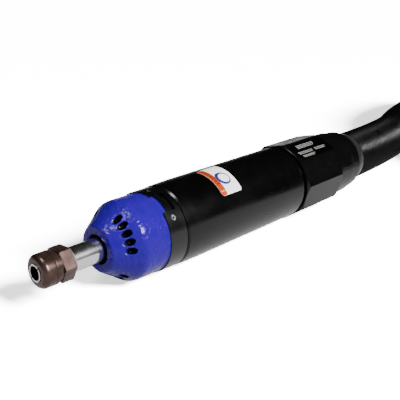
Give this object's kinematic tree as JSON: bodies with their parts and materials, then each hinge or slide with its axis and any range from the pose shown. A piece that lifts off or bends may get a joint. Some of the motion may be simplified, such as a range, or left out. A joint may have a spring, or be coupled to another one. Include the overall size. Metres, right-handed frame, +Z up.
{
  "type": "die grinder",
  "caption": "Straight air die grinder: collet on a slim spindle, vented nose cap, round body, faceted twist throttle and a ribbed exhaust hose around its air line.",
  "frame": {"origin": "on the spindle axis, at the front end of the collet bore's wall", "axes": "+X points out of the collet along the spindle axis, +Z is up as the tool lies on a bench"},
  "size_m": [0.709, 0.393, 0.0664],
  "materials": {
    "bright_steel": "polished steel",
    "bearing_steel": "ground steel",
    "bronzed_steel": "burnished dark brown",
    "collet_steel": "satin",
    "blue_cap": "glossy coat over a cast skin",
    "black_metal": "satin black",
    "black_plastic": "satin",
    "black_rubber": "ribbed",
    "seal_rubber": "smooth",
    "label_film": "printed film",
    "plate_black": "gloss",
    "alloy": "turned",
    "liner_iron": "bored",
    "vane_composite": "composite",
    "cage_brass": "stamped",
    "spring_steel": "spring"
  },
  "bodies": {
    "housing": {"nose_cap": "blue_cap", "front_ring": "black_metal", "front_ring_screws": "black_metal", "motor_casing": "alloy", "handle_sleeve": "black_metal", "body_label": "label_film", "front_bearing_outer_races": "bearing_steel", "preload_washer": "spring_steel", "front_end_plate": "liner_iron", "cylinder_liner": "liner_iron", "cylinder_dowel": "bearing_steel", "rear_end_plate": "liner_iron", "rear_bearing_outer_race": "bearing_steel", "backhead": "alloy", "sleeve_seals": "seal_rubber", "valve_seat": "alloy", "detent_ball": "bearing_steel", "detent_spring": "spring_steel", "retaining_ring": "spring_steel", "inlet_bushing": "alloy", "inlet_strainer": "bearing_steel", "hose_collar": "black_plastic", "hose_cuff": "black_rubber", "exhaust_hose": "black_rubber", "exhaust_hose_coil": "black_rubber", "air_hose": "seal_rubber", "hose_end_cuff": "black_plastic", "air_inlet_nipple": "bright_steel"},
    "spindle": {"spindle": "bright_steel", "collet": "collet_steel", "rotor": "bearing_steel", "vanes": "vane_composite", "front_bearing_inner_races": "bearing_steel", "rear_bearing_inner_race": "bearing_steel", "spindle_spacer": "bearing_steel", "rear_lock_nut": "bearing_steel"},
    "nut": {"collet_nut": "bronzed_steel"},
    "throttle": {"throttle_sleeve": "black_plastic", "spec_plate": "plate_black", "throttle_pin": "bearing_steel", "valve_spool": "cage_brass", "spool_seals": "seal_rubber"},
    "front_ball_set": {"front_bearing_balls": "bright_steel", "front_bearing_cages": "cage_brass"},
    "rear_ball_set": {"rear_bearing_balls": "bright_steel", "rear_bearing_cage": "cage_brass"}
  },
  "joints": [
    {"name": "spindle_spin", "type": "hinge", "parent": "housing", "child": "spindle", "pos_m": [0, 0, 0], "axis": [1, 0, 0], "continuous": true},
    {"name": "collet_nut_turn", "type": "hinge", "parent": "spindle", "child": "nut", "pos_m": [0, 0, 0], "axis": [1, 0, 0], "range_deg": [0, 360]},
    {"name": "throttle_twist", "type": "hinge", "parent": "housing", "child": "throttle", "pos_m": [-0.2, 0, 0], "axis": [1, 0, 0], "range_deg": [0, 40]},
    {"name": "front_balls_roll", "type": "hinge", "parent": "housing", "child": "front_ball_set", "pos_m": [-0.048, 0, 0], "axis": [1, 0, 0], "continuous": true},
    {"name": "rear_balls_roll", "type": "hinge", "parent": "housing", "child": "rear_ball_set", "pos_m": [-0.1315, 0, 0], "axis": [1, 0, 0], "continuous": true}
  ],
  "couplings": [
    {"joint": "front_balls_roll", "follows": "spindle_spin", "ratio": 0.4},
    {"joint": "rear_balls_roll", "follows": "spindle_spin", "ratio": 0.3889}
  ]
}
